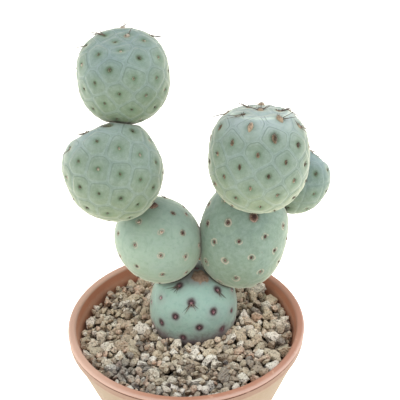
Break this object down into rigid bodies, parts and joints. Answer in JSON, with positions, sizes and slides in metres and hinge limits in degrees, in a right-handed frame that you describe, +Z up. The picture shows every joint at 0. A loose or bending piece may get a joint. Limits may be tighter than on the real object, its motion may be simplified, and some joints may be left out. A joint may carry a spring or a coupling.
{
  "type": "potted tephrocactus",
  "caption": "Small potted cactus: round, sparsely spined stem segments stacked in a branching clump, in a squat lipped plastic pot filled with coarse pumice grit.",
  "frame": {"origin": "middle of the pot's flat foot", "axes": "+Z up the pot's axis; -Y is the side that faces the viewer in the picture"},
  "size_m": [0.1386, 0.12, 0.223],
  "materials": {
    "terracotta_plastic": "matte moulded plastic",
    "pumice_grit": "rough angular pumice",
    "root_bark": "corky bark",
    "cactus_skin": "waxy grey-green skin with a net of fine lines",
    "cactus_skin_low": "waxy blue-green skin, smoother with age"
  },
  "bodies": {
    "root": {"pot": "terracotta_plastic", "potting_grit": "pumice_grit", "roots": "root_bark", "base_segment": "cactus_skin_low", "left_low_segment": "cactus_skin_low", "right_low_segment": "cactus_skin_low", "left_mid_segment": "cactus_skin", "left_top_segment": "cactus_skin", "right_top_segment": "cactus_skin", "right_back_segment": "cactus_skin"}
  },
  "joints": []
}
